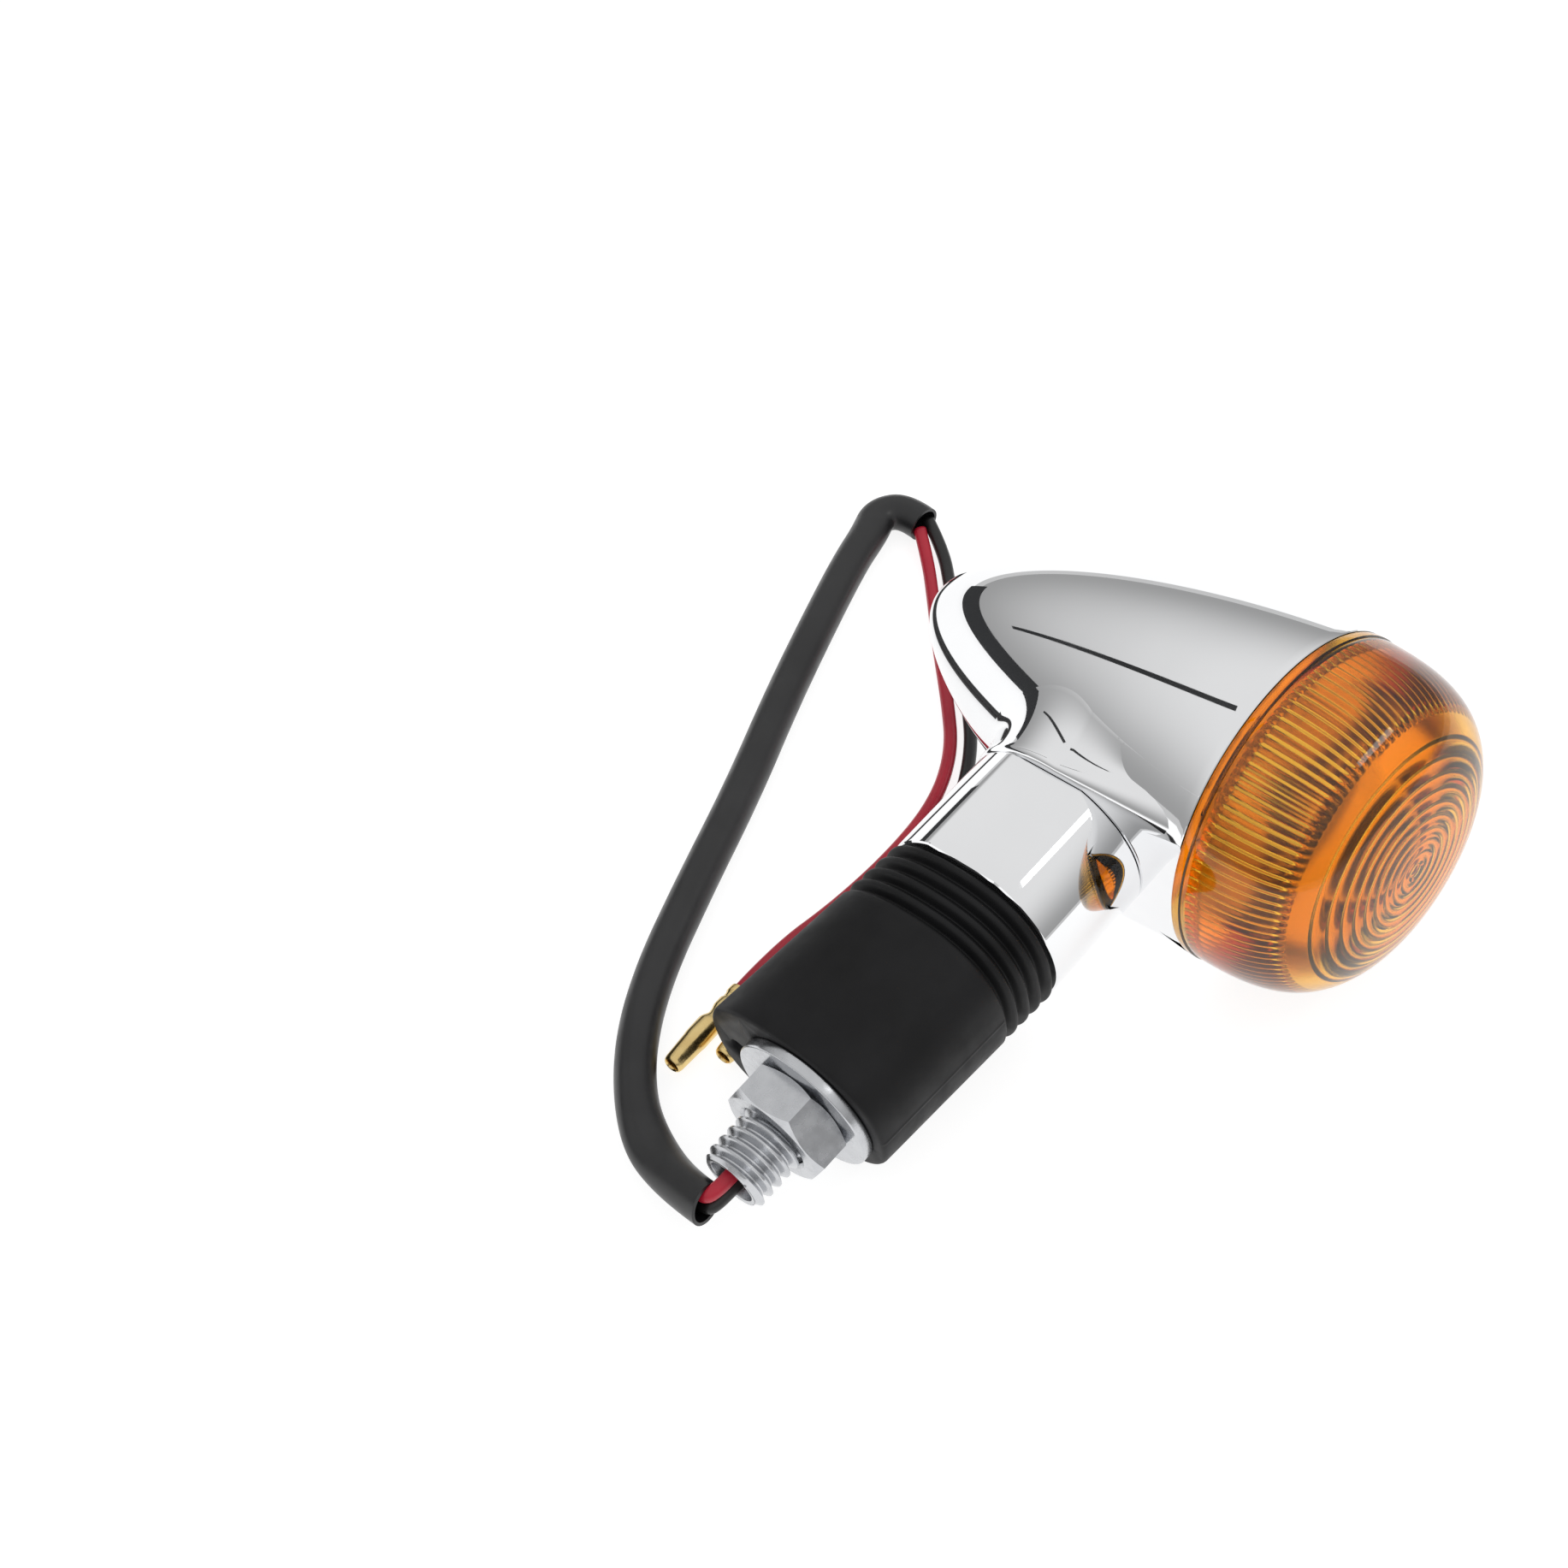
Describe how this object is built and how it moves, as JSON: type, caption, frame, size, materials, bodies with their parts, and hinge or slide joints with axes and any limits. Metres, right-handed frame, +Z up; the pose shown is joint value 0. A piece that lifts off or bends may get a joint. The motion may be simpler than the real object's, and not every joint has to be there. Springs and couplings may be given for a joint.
{
  "type": "motorcycle turn signal indicator",
  "caption": "Bullet-shaped chrome turn signal with an amber screw-on lens, a chrome stem and a flexible rubber boot on a hollow threaded stud, its sleeved wires ending in bullet terminals.",
  "frame": {"origin": "on the surface the indicator lies on, under the middle of its rigid parts", "axes": "+X along the stalk toward the stud's free end (which dips 7.45 degrees), +Y the way the lens faces, +Z up from the surface"},
  "size_m": [0.1167, 0.1105, 0.0486],
  "materials": {
    "chrome": "polished chrome plate",
    "bright_dish": "bright metallised",
    "zinc_steel": "bright zinc plate",
    "socket_steel": "plain plated",
    "brass": "bright brass",
    "amber": "clear amber, polished outside",
    "o_ring_rubber": "smooth",
    "boot_rubber": "matte black",
    "insulator": "pressed board",
    "black_glass": "fused black",
    "solder": "dull",
    "clear_glass": "clear",
    "tungsten": "drawn wire",
    "red_insulation": "satin",
    "black_insulation": "satin",
    "sleeve_plastic": "soft satin"
  },
  "bodies": {
    "mount": {"rubber_boot": "boot_rubber", "threaded_stud": "zinc_steel", "red_stalk_lead": "red_insulation", "black_stalk_lead": "black_insulation", "red_exit_wire": "red_insulation", "black_exit_wire": "black_insulation", "cord_sleeve": "sleeve_plastic", "red_wire": "red_insulation", "black_wire": "black_insulation", "red_connector": "brass", "black_connector": "brass"},
    "head": {"housing_shell": "chrome", "stem": "chrome", "stem_nut": "zinc_steel", "stem_lock_washer": "zinc_steel", "ground_terminal": "brass", "black_lead": "black_insulation", "red_lead": "red_insulation", "reflector": "bright_dish", "socket_shell": "socket_steel", "contact_spring": "socket_steel", "rubber_neck": "boot_rubber", "red_neck_lead": "red_insulation", "black_neck_lead": "black_insulation"},
    "washer": {"flat_washer": "zinc_steel"},
    "nut": {"hex_nut": "zinc_steel"},
    "gasket": {"lens_gasket": "o_ring_rubber"},
    "lens": {"lens": "amber"},
    "bulb": {"bulb_base": "brass", "bulb_cap_glass": "black_glass", "bulb_contact": "solder", "bulb_glass": "clear_glass", "bulb_filament": "tungsten", "socket_insulator": "insulator", "centre_contact": "brass"}
  },
  "joints": [
    {"name": "stalk_flex", "type": "hinge", "parent": "mount", "child": "head", "pos_m": [0.0115, -0.0022, 0.01551], "axis": [0.1282, -0.1478, 0.9807], "range_deg": [-10, 10], "stiffness_Nm_per_rad": 6, "deforming": ["rubber_neck", "red_neck_lead", "black_neck_lead"]},
    {"name": "washer_slide", "type": "slide", "parent": "mount", "child": "washer", "axis": [0.9916, 0, -0.1297], "range_m": [0, 0.004]},
    {"name": "nut_turn", "type": "hinge", "parent": "washer", "child": "nut", "pos_m": [0.04368, -0.0022, 0.0113], "axis": [0.9916, 0, -0.1297], "range_deg": [0, 905]},
    {"name": "ring_slide", "type": "slide", "parent": "head", "child": "gasket", "axis": [0.0589, 0.9882, 0.1412], "range_m": [0, 0.0061]},
    {"name": "lens_turn", "type": "hinge", "parent": "gasket", "child": "lens", "pos_m": [-0.02991, 0.02745, 0.02539], "axis": [0.0589, 0.9882, 0.1412], "range_deg": [0, 720]},
    {"name": "bulb_push", "type": "slide", "parent": "head", "child": "bulb", "axis": [-0.0589, -0.9882, -0.1412], "range_m": [0, 0.002], "stiffness_N_per_m": 500, "springref_m": -0.002, "deforming": ["contact_spring", "red_lead"]}
  ],
  "couplings": [
    {"joint": "washer_slide", "follows": "nut_turn", "m_per_rad": 0.00025266},
    {"joint": "ring_slide", "follows": "lens_turn", "m_per_rad": 0.00047746}
  ]
}
